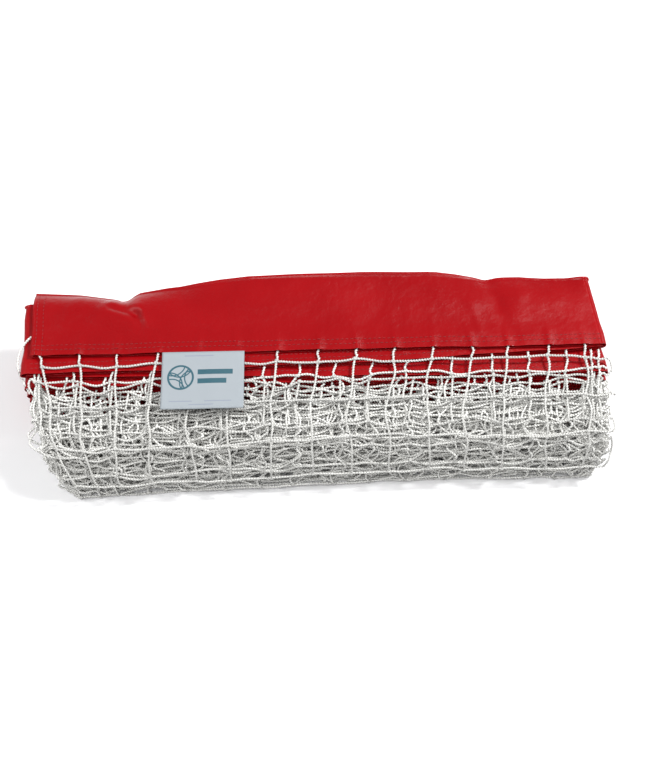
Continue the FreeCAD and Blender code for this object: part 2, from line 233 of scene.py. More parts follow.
# The far edge of the front fold hangs over the stack behind it: X, and how far it turns down.
EDGE_X = np.array([-300, -278, -235, -205, -192, -183, -172, -143, -113, -89, -16, 53,
                   121, 150, 166, 180, 194, 215, 240, 262, 276, 300])
EDGE_TURN = np.array([0.84, 0.84, 1.04, 1.27, 1.36, 1.22, 0.92, 0.60, 0.38, 0.24, 0.12, 0.03,
                      0.14, 0.26, 0.40, 0.50, 0.45, 0.43, 0.40, 0.28, 0.08, 0.0])
OVERHANG = 38.0         # length of the far part that turns down
FAR_SHIFT = 6.5         # the far edge lies this far to the left of the hem
FREE_REACH = 1.5        # the front fold's free end reaches out by this
TURN_REACH = {2: 1.6}   # how many times its own radius a slack turn stands out
BOW = {2: 4.5, 3: 2.5, 4: 1.5}  # how far the middle of a fold stands out towards the netting
HEM_RISE, WEB_RISE = 1.45, 0.2  # inside of the sheet over its middle, in the hem and past it
# How far the far edge is puffed up, and near the first turn pulled in level so that it can open.
PUFF_X, PUFF = [-130, -60, 130, 175, 240, 270], [0, 1, 1, 0.35, 0.1, 0]
PUFF_RISE, PUFF_REACH = 5.5, 2.6
PULL_X, PULL = [215, 262, 290], [0, 4.0, 5.5]
LAST_SHORT = 4.0        # the last fold ends this far short of where it would turn
# Creases of the front fold: start, end, half-width and rise, on the hem's own X and Y.
CREASES = [
    ((-198, 57), (-176, 48), 4.5, -3.2), ((-176, 48), (-171, 36), 3.5, -2.6),
    ((-172, 56), (-164, 36), 6.0, 1.6), ((-232, 70), (-249, 34), 7.0, 0.9),
    ((-206, 72), (-228, 40), 6.0, -0.8), ((-187, 84), (-187, 62), 7.0, -2.6),
    ((181, 84), (186, 52), 9.0, -2.0), ((186, 52), (189, 22), 7.0, -1.0),
    ((160, 50), (163, 20), 5.0, 0.8), ((212, 70), (205, 38), 8.0, 0.7),
    ((-60, 60), (-30, 20), 16.0, 0.5), ((60, 66), (92, 20), 18.0, -0.5),
]


def lean(turn):
    """How far a turn of the headband stands out towards the netting; turn 1 is the front fold's."""
    return LEAN * (1 - math.exp(-LEAN_RATE * max(turn - 1, 0)))


def turn_down(y, offset, bend, depth):
    """Carries points past the stack's back edge round the bend of the far edge.

    y is measured from the front hem, offset is the height over the fold's own middle and depth is
    how far that middle lies under the front fold's.
    """
    past = np.maximum(y - (BAND - OVERHANG), 0.0)
    hold = 1.0 / (1.0 + (depth / 18.0) ** 2)
    curve = np.maximum(bend, 1e-4) / OVERHANG * hold
    angle = curve * past
    new_y = np.where(past > 0, BAND - OVERHANG + np.sin(angle) / curve, y)
    drop = (1 - np.cos(angle)) / curve
    inner = depth * hold
    new_y = new_y + np.sin(angle) * (offset - inner)
    height = -depth - drop + np.cos(angle) * offset + (1 - np.cos(angle)) * inner
    return new_y, height


def band_profile(long_points=12, fine=True):
    """Cross-section of the folded sheet: (y, height) along its outside, then its inside."""
    vinyl = settings().headband.vinyl / MM
    centre = BAND - BEAD

    def half(inset, radius):
        """One wall of the sheet from the top of the hem round the bead to the hem's underside."""
        edge = np.array([0.0, 0.35, 3, 6, 8.5, 11, 14, 17, 20, 23, 26, 29] if fine
                        else [0.0, 0.4, 5, 11, 18, 26, 29])
        rise = np.interp(edge, [0, 11, 14, 26, 29], np.array([
            HEM_RISE, HEM_RISE, HEM_RISE - 0.08, WEB_RISE + 0.08, WEB_RISE]) + inset)
        long = np.linspace(34, centre - radius - 1.2, long_points)
        angles = np.linspace(math.radians(150), math.radians(-150), 11 if fine else 8)
        top = np.column_stack([np.r_[edge, long],
                               np.r_[rise, np.full(long_points, WEB_RISE + inset)]])
        bead = np.column_stack([centre + radius * np.cos(angles), radius * np.sin(angles)])
        return np.vstack([top, bead, top[::-1] * [1, -1]])

    return np.vstack([half(vinyl, BEAD), half(0.0, BEAD - vinyl)[::-1]])


def hem_ridges(x, y, height, shift=0.0):
    """The hem's rise over each cord that it grips, on both of its faces."""
    ridge = settings().headband.ridge / MM
    rise = np.zeros(np.broadcast(x, y).shape)
    for i, at in enumerate(CORD_X + shift):
        line = at + 0.10 * y * math.sin(i * 2.1)
        strength = (0.75 + 0.25 * math.sin(i * 1.7)) * ridge
        if LABEL_LOW[0] - 3 < at < LABEL_HIGH[0] + 3 and shift == 0:
            strength = strength * np.clip((y - 2) / 8, 0.1, 0.8)
        rise += strength * np.exp(-((x - line) / 2.1) ** 2) * np.exp(-(np.maximum(y, 0) / 17) ** 2)
        rise -= 0.25 * ridge * np.exp(-((x - line - 9) / 6) ** 2) * np.exp(-(y / 22) ** 2)
    return np.sign(height) * rise


def crease_rise(x, y):
    """Height of the front fold's creases."""
    total = np.zeros(np.broadcast(x, y).shape)
    for (x0, y0), (x1, y1), width, rise in CREASES:
        run = np.array([x1 - x0, y1 - y0], float)
        length = np.hypot(*run)
        run /= length
        along = (x - x0) * run[0] + (y - y0) * run[1]
        off = (x - x0) * -run[1] + (y - y0) * run[0]
        ends = np.maximum(np.maximum(-along, along - length), 0)
        total += rise * np.exp(-(off / width) ** 2) * np.exp(-(ends / (1.3 * width)) ** 2)
    return total


def fold_point(fold, x, y, height):
    """Where a point of a fold's section lies; y is from the fold's hem, height over its middle."""
    x, y, height = np.broadcast_arrays(np.asarray(x, float), y, height)
    right, left = (fold, fold - 1) if fold % 2 else (fold - 1, fold)
    share = (x + TURN_AXIS) / (2 * TURN_AXIS)
    offset = -(lean(right) * share + lean(left) * (1 - share))
    depth = (fold - 1) * PITCH
    plane = np.stack([x, y + 40 * fold], axis=-1)
    if fold == 1:
        wavy = 0.7 * wave(plane, 170, 3) * np.clip(y / 30, 0, 1)
        settle = np.clip(y / 20, 0, 1) * crease_rise(x, y)
        height = height + hem_ridges(x, y, height) + wavy + settle
        sway = 0.8 * wave_along(x, 210, 5)
        low = 1.2 * np.exp(-(y / 10) ** 2) * wave_along(x, 120, 8) - 0.6
    else:
        middle = 1 - (2 * share - 1) ** 2
        sway = 1.5 * wave_along(x, 190, 20 + fold) * np.clip(middle * 3, 0, 1) \
            - BOW.get(fold, 0.0) * middle
        room = np.clip((y - 20) / 15, 0, 1) * np.clip((BAND - 6 - y) / 10, 0, 1)
        height = height + hem_ridges(x, y, height, shift=-9.0 * (fold - 1)) * 0.35 \
            + 0.9 * room * wave(plane, 150, 40 + fold)
        low = 0.0
    bend = np.interp(x, EDGE_X, EDGE_TURN)
    new_y, rise = turn_down(y + offset + sway, height, bend, depth)
    far = np.clip(y / BAND, 0, 1)
    puff = np.interp(x, PUFF_X, PUFF) * far ** 1.6 / (1 + (depth / 22) ** 2)
    pull = np.interp(x, PULL_X, PULL) * far ** 1.5
    new_y, rise = new_y + PUFF_REACH * puff - pull, rise + PUFF_RISE * puff
    lowest = -(FOLDS - 1) * PITCH - BEAD
    rise = np.maximum(rise + low * (fold == 1), lowest)
    across = x - FAR_SHIFT * far ** 1.2
    if fold == 1:
        across = across - FREE_REACH * np.clip((-240 - x) / 37, 0, 1)
    return np.stack([across, HEM + new_y, LEVEL + rise], axis=-1)


def run_rings(fold, stations, profile):
    """A cross-section carried along one fold."""
    flip = 1.0 if fold % 2 else -1.0
    return [fold_point(fold, x, profile[:, 0], profile[:, 1] * flip) for x in stations]


def turn_rings(turn, profile, steps=7):
    """A cross-section carried round the half turn from one fold down to the next."""
    side = 1.0 if turn % 2 else -1.0
    reach = TURN_REACH.get(turn, 1.0)
    upper = fold_point(turn, side * TURN_AXIS, profile[:, 0], 0.0)
    lower = fold_point(turn + 1, side * TURN_AXIS, profile[:, 0], 0.0)
    middle, half = (upper + lower) / 2, (upper - lower) / 2
    radius = np.linalg.norm(half, axis=1)[:, None]
    normal = half / radius
    rings = []
    for step in range(1, steps + 1):
        a = math.pi * step / (steps + 1)
        out = np.array([side * math.sin(a) * reach, 0, 0])
        direction = normal * math.cos(a) + out
        rings.append(middle + direction * (radius + (side * profile[:, 1])[:, None]))
    return rings


def spread(low, high, step):
    """Evenly spaced values from low to high, about a step apart."""
    return np.linspace(low, high, max(2, int(round(abs(high - low) / step)) + 1))


def fold_ends(fold):
    """X where a fold starts and where it turns."""
    return (-TURN_AXIS, TURN_AXIS) if fold % 2 else (TURN_AXIS, -TURN_AXIS)


def stack_rings(profile, step=7.0):
    """A cross-section carried along every fold under the front one and round their turns."""
    rings = []
    for fold in range(2, FOLDS + 1):
        start, end = fold_ends(fold)
        if fold == FOLDS:
            end = end - math.copysign(LAST_SHORT, end)
        rings += run_rings(fold, spread(start, end, step), profile)
        if fold < FOLDS:
            rings += turn_rings(fold, profile)
    return np.array(rings)


# ---------------------------------------------------------------- node helpers

def give(tree, node, inputs):
    """Sets or links a node's inputs."""
    for key, value in inputs.items():
        if isinstance(value, bpy.types.NodeSocket):
            tree.links.new(value, node.inputs[key])
        else:
            node.inputs[key].default_value = value
    return node


def add(tree, kind, inputs=None, **values):
    """A node in a tree, in the next place of its layout, with its properties and inputs."""
    node = tree.nodes.new(kind)
    column, row = divmod(len(tree.nodes), 6)
    node.location = (column * 200, row * -160)
    for key, value in values.items():
        setattr(node, key, value)
    return give(tree, node, inputs or {})


def calculate(tree, operation, *inputs):
    """A Math node's result."""
    return add(tree, "ShaderNodeMath", dict(enumerate(inputs)), operation=operation).outputs[0]


def new_group(name, kind, given, made):
    """A node group with named inputs and outputs, each with its default value or its kind."""
    tree = bpy.data.node_groups.new(name, kind)
    for way, sockets in (("INPUT", given), ("OUTPUT", made)):
        for label, value in sockets.items():
            socket = {float: "Float", int: "Int"}.get(type(value), value)
            item = tree.interface.new_socket(name=label, in_out=way,
                                             socket_type=f"NodeSocket{socket}")
            if socket != value:
                item.default_value = value
    return tree, add(tree, "NodeGroupInput").outputs, add(tree, "NodeGroupOutput").inputs


def built_once(make):
    """Names a node group after its maker, and has it made only once."""
    @functools.wraps(make)
    def find():
        name = make.__name__.replace("_", " ").capitalize()
        return bpy.data.node_groups.get(name) or make(name)
    return find


# ---------------------------------------------------------------- materials

@built_once
def fine_grain(name):
    """Small unevenness shared by the materials: a colour multiplier, a roughness and a height."""
    tree, given, result = new_group(
        name, "ShaderNodeTree", {"Size": 600.0, "Patches": 25.0, "Colour change": 0.1,
                                 "Roughness": 0.5, "Roughness change": 0.1},
        {"Shade": "Float", "Roughness": "Float", "Height": "Float"})
    place = add(tree, "ShaderNodeTexCoord").outputs["Object"]
    fine, broad = (add(tree, "ShaderNodeTexNoise", {
        "Vector": place, "Scale": given[key], "Detail": detail}).outputs["Fac"]
        for key, detail in (("Size", 3.0), ("Patches", 2.0)))
    off = calculate(tree, "SUBTRACT", broad, 0.5)
    for key, share, middle in (("Shade", "Colour change", 1.0),
                               ("Roughness", "Roughness change", given["Roughness"])):
        change = calculate(tree, "MULTIPLY", off, given[share])
        tree.links.new(calculate(tree, "ADD", change, middle), result[key])
    tree.links.new(fine, result["Height"])
    return tree


def new_material(name, *finish):
    """A material with its tree, shader and grain; the finish goes to the grain's inputs."""
    material = bpy.data.materials.new(name)
    material.use_nodes = True
    tree = material.node_tree
    shader = tree.nodes["Principled BSDF"]
    grain = add(tree, "ShaderNodeGroup", dict(enumerate(finish)), node_tree=fine_grain())
    give(tree, shader, {"Roughness": grain.outputs["Roughness"]})
    return material, tree, shader, grain.outputs


def shaded(tree, colour_value, shade):
    """A colour darkened or lightened by a factor."""
    return add(tree, "ShaderNodeVectorMath", {0: tuple(colour_value)[:3], "Scale": shade},
               operation="SCALE").outputs[0]


def bumps(tree, shader, *layers):
    """Bumps laid over one another: height, strength and distance in metres of each."""
    under = None
    for height, strength, distance in layers:
        made = add(tree, "ShaderNodeBump", {"Height": height, "Strength": strength,
                                            "Distance": distance})
        if under:
            give(tree, made, {"Normal": under})
        under = made.outputs["Normal"]
    give(tree, shader, {"Normal": under})


def crossed_waves(tree, place, **inputs):
    """The threads of a plain weave, one way and the other."""
    return [add(tree, "ShaderNodeTexWave", {"Vector": place, **inputs},
                bands_direction=direction).outputs["Fac"] for direction in "XY"]


def vinyl_material():
    """Glossy coated fabric: the base cloth's weave shows faintly through the coat."""
    material, tree, shader, grain = new_material("Vinyl", 1500.0, 18.0, 0.28, 0.31, 0.22)
    place = add(tree, "ShaderNodeTexCoord").outputs["Object"]
    cloth = calculate(tree, "MULTIPLY", *crossed_waves(tree, place, Scale=280.0,
                                                       Distortion=0.6, Detail=1.0))
    pucker = add(tree, "ShaderNodeTexNoise", {"Vector": place, "Scale": 55.0, "Detail": 4.0,
                                              "Roughness": 0.55}).outputs["Fac"]
    bumps(tree, shader, (pucker, 0.35, 0.004), (cloth, 0.22, 0.0005),
          (grain["Height"], 0.10, 0.0003))
    edge = add(tree, "ShaderNodeNewGeometry").outputs["Pointiness"]
    worn = add(tree, "ShaderNodeMapRange", {
        "Value": edge, "From Min": 0.505, "From Max": 0.60, "To Min": 1.0,
        "To Max": 1.22}).outputs["Result"]
    shade = calculate(tree, "MULTIPLY", grain["Shade"], worn)
    give(tree, shader, {"Base Color": shaded(tree, settings().headband.red, shade),
                        "Specular IOR Level": 0.11, "Coat Weight": 0.13,
                        "Coat Roughness": 0.14})
    return material


def cord_material(name, hollow_shade=0.55, tint=None):
    """White twisted cord with painted shade in the hollows between its strands, darkest there by
    the given factor, and a slight painted highlight on the crests.
    """
    material, tree, shader, grain = new_material(name, 2600.0, 60.0, 0.22, 0.55, 0.2)
    crest = add(tree, "ShaderNodeAttribute", attribute_name="strand").outputs["Fac"]
    # painted shade: the hollows between strands darkened and the crests lightened a little as a
    # painted highlight
    strand_painted_shade = add(tree, "ShaderNodeMapRange", {"Value": crest, "To Min": hollow_shade,
                                            "To Max": 1.06}).outputs["Result"]
    shade = calculate(tree, "MULTIPLY", grain["Shade"], strand_painted_shade)
    bumps(tree, shader, (grain["Height"], 0.5, 0.0004))
    give(tree, shader, {"Base Color": shaded(tree, tint or settings().netting.white, shade),
                        "Sheen Weight": 0.15, "Specular IOR Level": 0.45})
    return material


def thread_material():
    """Polyester stitching: a tight twist seen as fine slanting bands."""
    material, tree, shader, grain = new_material("Thread", 3000.0, 90.0, 0.5, 0.5, 0.2)
    place = add(tree, "ShaderNodeTexCoord").outputs["Object"]
    twist = add(tree, "ShaderNodeTexWave", {"Vector": place, "Scale": 900.0},
                bands_direction="DIAGONAL").outputs["Fac"]
    bumps(tree, shader, (twist, 0.5, 0.0003))
    give(tree, shader, {"Base Color": shaded(tree, settings().headband.thread,
                                             grain["Shade"])})
    return material


@built_once
def printed_mark(name):
    """The label's print in millimetres from its lower left corner: a ball and plain bars."""
    tree, given, result = new_group(name, "ShaderNodeTree", {"Label": "Vector"},
                                    {"Strong": "Float", "Faint": "Float"})
    calc = functools.partial(calculate, tree)
    across, up = add(tree, "ShaderNodeSeparateXYZ", {"Vector": given["Label"]}).outputs[:2]

    def disc(x, y, radius):
        """Distance outside a circle: below zero inside it."""
        dx, dy = calc("SUBTRACT", across, x), calc("SUBTRACT", up, y)
        square = calc("ADD", calc("MULTIPLY", dx, dx), calc("MULTIPLY", dy, dy))
        return calc("SUBTRACT", calc("SQRT", square), radius)

    def line(distance, half):
        """A line along the places where a distance is nought."""
        return calc("LESS_THAN", calc("ABSOLUTE", distance), half)

    def bars(total, *rows):
        """Some print with bars on it: centre, half-length and half-height of each."""
        for x, y, half, tall in rows:
            over = [calc("SUBTRACT", calc("ABSOLUTE", calc("SUBTRACT", axis, centre)), room)
                    for axis, centre, room in ((across, x, half), (up, y, tall))]
            bar = calc("LESS_THAN", calc("MAXIMUM", *over), 0.0)
            total = bar if total is None else calc("MAXIMUM", total, bar)
        return total

    ball_x, ball_y, ball_radius, seam_radius = 18.5, 33.0, 12.0, 12.5
    outline = disc(ball_x, ball_y, ball_radius)
    seams = ring = line(outline, 1.0)
    for third in range(3):
        for side, out in enumerate((13.0, 16.5)):
            a = math.radians(95 + 120 * third + 24 * side)
            seam = line(disc(ball_x + out * math.cos(a), ball_y + out * math.sin(a),
                             seam_radius), 0.62)
            seams = calc("MAXIMUM", seams, seam)
    inside = calc("MAXIMUM", calc("LESS_THAN", outline, 0.0), ring)
    tree.links.new(bars(calc("MULTIPLY", seams, inside), (52.0, 38.5, 17.0, 2.6),
                        (49.0, 29.0, 14.0, 2.6)), result["Strong"])
    tree.links.new(bars(None, (36.0, 55.6, 14.0, 0.55), (19.0, 8.2, 11.0, 0.5),
                        (55.0, 8.2, 13.0, 0.5), (39.0, 4.6, 12.0, 0.5)), result["Faint"])
    return tree


LABEL_FLAT = (80.0, 60.0)  # the label's width and length


def label_material():
    """Woven satin label with its print sunk slightly into the weave."""
    material, tree, shader, grain = new_material("Label cloth", 2200.0, 40.0, 0.05, 0.48, 0.1)
    own = add(tree, "ShaderNodeUVMap", uv_map="UVMap").outputs["UV"]
    flat = add(tree, "ShaderNodeVectorMath", {0: own, 1: (*LABEL_FLAT, 0.0)},
               operation="MULTIPLY").outputs[0]
    mark = add(tree, "ShaderNodeGroup", {"Label": flat}, node_tree=printed_mark())
    seen = shaded(tree, settings().label.ground, grain["Shade"])
    faint = calculate(tree, "MULTIPLY", mark.outputs["Faint"], 0.35)
    for share, ink in ((faint, (0.10, 0.11, 0.22, 1.0)),
                       (mark.outputs["Strong"], tuple(settings().label.print))):
        seen = add(tree, "ShaderNodeMix", {0: share, 6: seen, 7: ink},
                   data_type="RGBA").outputs[2]
    give(tree, shader, {"Base Color": seen})
    cloth = calculate(tree, "ADD", *crossed_waves(tree, flat, Scale=0.9))
    bumps(tree, shader, (cloth, 0.25, 0.0004), (grain["Height"], 0.15, 0.0003))
    return material


# ---------------------------------------------------------------- geometry node trees

def finish_tree(tree, geometry, given, result):
    """Ends a tree in real geometry with its material."""
    real = add(tree, "GeometryNodeRealizeInstances", {"Geometry": geometry})
    coated = add(tree, "GeometryNodeSetMaterial", {
        "Geometry": real.outputs[0], "Material": given["Material"]})
    tree.links.new(coated.outputs[0], result["Geometry"])
    return tree


@built_once
def twisted_cord(name):
    """Carries a section of a few strands along every curve, turning it once a lay length."""
    tree, given, result = new_group(name, "GeometryNodeTree", {
        "Geometry": "Geometry", "Cord diameter": 0.0028, "Strand depth": 0.16,
        "Lay length": 0.006, "Facet length": 0.001, "Strands": 3, "Material": "Material"},
        {"Geometry": "Geometry"})
    even = add(tree, "GeometryNodeResampleCurve", {
        "Curve": given["Geometry"], "Length": given["Facet length"]}, mode="LENGTH")
    run = add(tree, "GeometryNodeSplineParameter").outputs["Length"]
    tilt = calculate(tree, "MULTIPLY", calculate(tree, "DIVIDE", run, given["Lay length"]),
                     2 * math.pi)
    turned = add(tree, "GeometryNodeSetCurveTilt", {"Curve": even.outputs[0], "Tilt": tilt})
    radius = calculate(tree, "MULTIPLY", given["Cord diameter"], 0.5)
    inner = calculate(tree, "MULTIPLY", radius, calculate(
        tree, "SUBTRACT", 1.0, calculate(tree, "MULTIPLY", given["Strand depth"], 2.0)))
    section = add(tree, "GeometryNodeCurveStar", {
        "Points": given["Strands"], "Inner Radius": inner, "Outer Radius": radius})
    # marks each strand's crest (1) and the hollows between strands (0); the cord materials paint
    # shade into the hollows from it
    crest = add(tree, "GeometryNodeStoreNamedAttribute", {
        "Geometry": section.outputs["Curve"], "Name": "strand",
        "Value": section.outputs["Outer Points"]}, data_type="FLOAT", domain="POINT")
    solid = add(tree, "GeometryNodeCurveToMesh", {
        "Curve": turned.outputs[0], "Profile Curve": crest.outputs[0], "Fill Caps": True})
    smooth = add(tree, "GeometryNodeSetShadeSmooth", {"Geometry": solid.outputs[0]})
    return finish_tree(tree, smooth.outputs[0], given, result)


def finish_copies(tree, points, given, result, **turned):
    """Ends a tree with a copy of the given piece on every point."""
    piece = add(tree, "GeometryNodeObjectInfo", {"Object": given["Piece"]})
    copies = add(tree, "GeometryNodeInstanceOnPoints", {
        "Points": points, "Instance": piece.outputs["Geometry"], **turned})
    return finish_tree(tree, copies.outputs[0], given, result)


@built_once
def row_of_pieces(name):
    """Sets a copy of a small piece at even steps along every curve, turned along it."""
    tree, given, result = new_group(name, "GeometryNodeTree", {
        "Geometry": "Geometry", "Spacing": 0.0046, "Piece": "Object", "Unevenness": 0.08,
        "Seed": 1, "Material": "Material"}, {"Geometry": "Geometry"})
    points = add(tree, "GeometryNodeCurveToPoints", {
        "Curve": given["Geometry"], "Length": given["Spacing"]}, mode="LENGTH").outputs
    least, most = (calculate(tree, way, 1.0, given["Unevenness"]) for way in ("SUBTRACT", "ADD"))
    chance = add(tree, "FunctionNodeRandomValue", {"Seed": given["Seed"], 2: least, 3: most},
                 data_type="FLOAT")
    return finish_copies(tree, points["Points"], given, result,
                         Rotation=points["Rotation"], Scale=chance.outputs[1])


@built_once
def tumbled_pieces(name):
    """Sets a copy of a small piece on every point, each turned its own way."""
    tree, given, result = new_group(name, "GeometryNodeTree", {
        "Geometry": "Geometry", "Piece": "Object", "Seed": 1, "Tilt": 0.9,
        "Material": "Material"}, {"Geometry": "Geometry"})
    chance = add(tree, "FunctionNodeRandomValue", {"Seed": given["Seed"], 0: (-1, -1, -1)},
                 data_type="FLOAT_VECTOR")
    turn = add(tree, "ShaderNodeVectorMath", {0: chance.outputs[0], "Scale": given["Tilt"]},
               operation="SCALE")
    return finish_copies(tree, given["Geometry"], given, result, Rotation=turn.outputs[0])


def curves_object(lines):
    """A curve object of straight runs through each line's points, in millimetres."""
    data = bpy.data.curves.new("route", "CURVE")
    data.dimensions = "3D"
    for line in lines:
        spline = data.splines.new("POLY")
        spline.points.add(len(line) - 1)
        spline.points.foreach_set("co", np.column_stack(
            [np.asarray(line, float) * MM, np.ones(len(line))]).ravel())
    return placed("route", data)


def grown(name, source, tree, material, **inputs):
    """The plain mesh that a geometry node tree makes on an object, which it replaces."""
    modifier = source.modifiers.new(tree.name, "NODES")
    modifier.node_group = tree
    sockets = {item.name: item.identifier for item in tree.interface.items_tree
               if item.item_type == "SOCKET" and item.in_out == "INPUT"}
    modifier[sockets["Material"]] = material
    for key, value in inputs.items():
        modifier[sockets[key.replace("_", " ")]] = value
    graph = bpy.context.evaluated_depsgraph_get()
    mesh = bpy.data.meshes.new_from_object(source.evaluated_get(graph), depsgraph=graph)
    bpy.data.batch_remove([source, source.data])
    mesh.name = name
    if not mesh.materials:
        mesh.materials.append(material)
    return placed(name, mesh)


CORD_HOLLOW, ROPE_HOLLOW = 0.26, 0.12  # depth of the hollows between strands, to the diameter
COARSE = 2.3                           # length of a deep cord's facets, to a fine cord's


def rope_from(name, lines, material, fine=True):
    """Twisted cords along lines in millimetres, as one plain mesh."""
    netting = settings().netting
    return grown(name, curves_object(lines), twisted_cord(), material,
                 Cord_diameter=netting.cord, Lay_length=netting.lay,
                 Facet_length=netting.step if fine else COARSE * netting.step,
                 Strands=3 if fine else 2, Strand_depth=CORD_HOLLOW)


# ---------------------------------------------------------------- headband

def turn_line(turn, y, steps):
    """Points of one line carried round a turn."""
    return [ring[0] for ring in turn_rings(turn, np.array([[y, 0.0]]), steps)]


def fold_line(fold, y, step, ends=(0.0, 0.0)):
    """Points of one line carried along a fold, from where it starts to where it turns."""
    start, end = fold_ends(fold)
    way = math.copysign(1, end - start)
    xs = spread(start + way * ends[0], end - way * ends[1], step)
    return list(fold_point(fold, xs, np.full(len(xs), float(y)), 0.0))


def stack_line(y):
    """Points of one line carried along every fold under the front one."""
    points = []
    for fold in range(2, FOLDS + 1):
        points += fold_line(fold, y, 12.0, ends=(0.0, LAST_SHORT if fold == FOLDS else 0.0))
        if fold < FOLDS:
            points += turn_line(fold, y, 5)
    return points


def first_turn_rings(profile):
    """The front fold's end, the half turn under it and the start of the second fold."""
    y, height = profile.T
    top = [fold_point(1, FRONT_END + past, y, height) for past in (-0.2, 0.2)]
    end = [fold_point(2, TURN_AXIS - short, y, -height) for short in (0.0, 0.5)]
    return np.array(top + turn_rings(1, profile, 11) + end)


def stitch_shape():
    """One short stitch along its own Z, thin at both ends where it enters the vinyl."""
    half = settings().headband.stitch / 2
    around, rows = 4, ((-1.0, 0.10), (-0.72, 0.42), (0.0, 0.50), (0.72, 0.42), (1.0, 0.10))
    points = [(radius * math.cos(2 * math.pi * k / around) * 0.9 * MM,
               radius * math.sin(2 * math.pi * k / around) * 0.9 * MM, at * half)
              for at, radius in rows for k in range(around)]
    ends = [tuple(range(around))[::-1], tuple(range((len(rows) - 1) * around, len(points)))]
    return plain_mesh("stitch_shape", points, grid_faces(len(rows), around, wrap=True) + ends)


def stitched(name, lines, material, shape):
    """Rows of stitches along lines in millimetres, as one plain mesh."""
    band = settings().headband
    return grown(name, curves_object(lines), row_of_pieces(), material,
                 Spacing=band.stitch + band.stitch_gap, Piece=shape, Seed=3)


SURFACE = 2.15            # outside of the hem over the middle of its fold
PROUD = 0.08              # middle of a stitch over that outside
SEAMS = (6.0, 11.0)       # the two rows of stitches, from the hem
END_SEAMS = (4.5, 10.5)   # the two rows of stitches at the free end, from that end
LOWEST_STITCH = 0.5       # middle of a stitch over the floor


def hem_stitches(fold, face, start, end, step):
    """The two rows of stitches along one face of a fold's hem."""
    xs = spread(start, end, step)
    return [fold_point(fold, xs, np.full(len(xs), inset), face * (SURFACE + PROUD))
            for inset in SEAMS]


def front_stitch_lines():
    """The hem's rows on both faces of the front fold and the rows across its free end."""
    lines = []
    ys = np.r_[spread(2, 18, 2.0), spread(20, BAND - 5, 2.0)]
    rise = np.interp(ys, [0, 18, 24], [SURFACE, SURFACE, 0.9])
    for face in (1, -1):
        lines += hem_stitches(1, face, FREE_END + 3, FRONT_END - 2, 2.0)
        lines += [fold_point(1, np.full(len(ys), FREE_END + inset), ys, face * (rise + PROUD))
                  for inset in END_SEAMS]
    return lines


def stack_stitch_lines():
    """The hem's rows on the upper face of every fold under the front one, and under the last."""
    return [line for fold in range(2, FOLDS + 1) for face in ((1, -1) if fold == FOLDS else (1,))
            for line in hem_stitches(fold, face, -TURN_AXIS + 4, TURN_AXIS - 4, 5.0)]


# ---------------------------------------------------------------- shape of the netting

MESH_ROWS = np.array([12.0, 50.1, 88.2, 128.0])     # rows of the front netting, from its hem
SIDE = PLY_HIGH[0]                                  # the netting's half-length
KNEE = (HEM - 20.8, LEVEL - 1.4)                    # where the front netting starts to slope
SLOPE = math.radians(14.0)
FOOT = PLY_LOW[2]                                   # where its curved nose has become upright
CORE_Y = KNEE[0] - 23.9                             # middle of the nose's curve, along Y
NOSE_RADIUS = CORE_Y - (HEM - NOSE)
# The left corner of the netting is drawn in as it goes down: distance from the hem, X.
LEFT_S = np.array([0, 12, 40, 70, 88, 106, 126, 145, 175])
LEFT_X = np.array([-278, -276, -272, -267, -262, -253, -245, -234, -225])
RIGHT_S = np.array([0, 100, 126, 145, 175])
RIGHT_X = np.array([280, 280, 277, 270, 266])
SKEW = 11.0                                         # the left end's foot stands out by this
SLACK = 0.985                                       # cord between two knots, to the mesh's side
WIDEST = 15.0                                       # furthest that a slack cord bends sideways


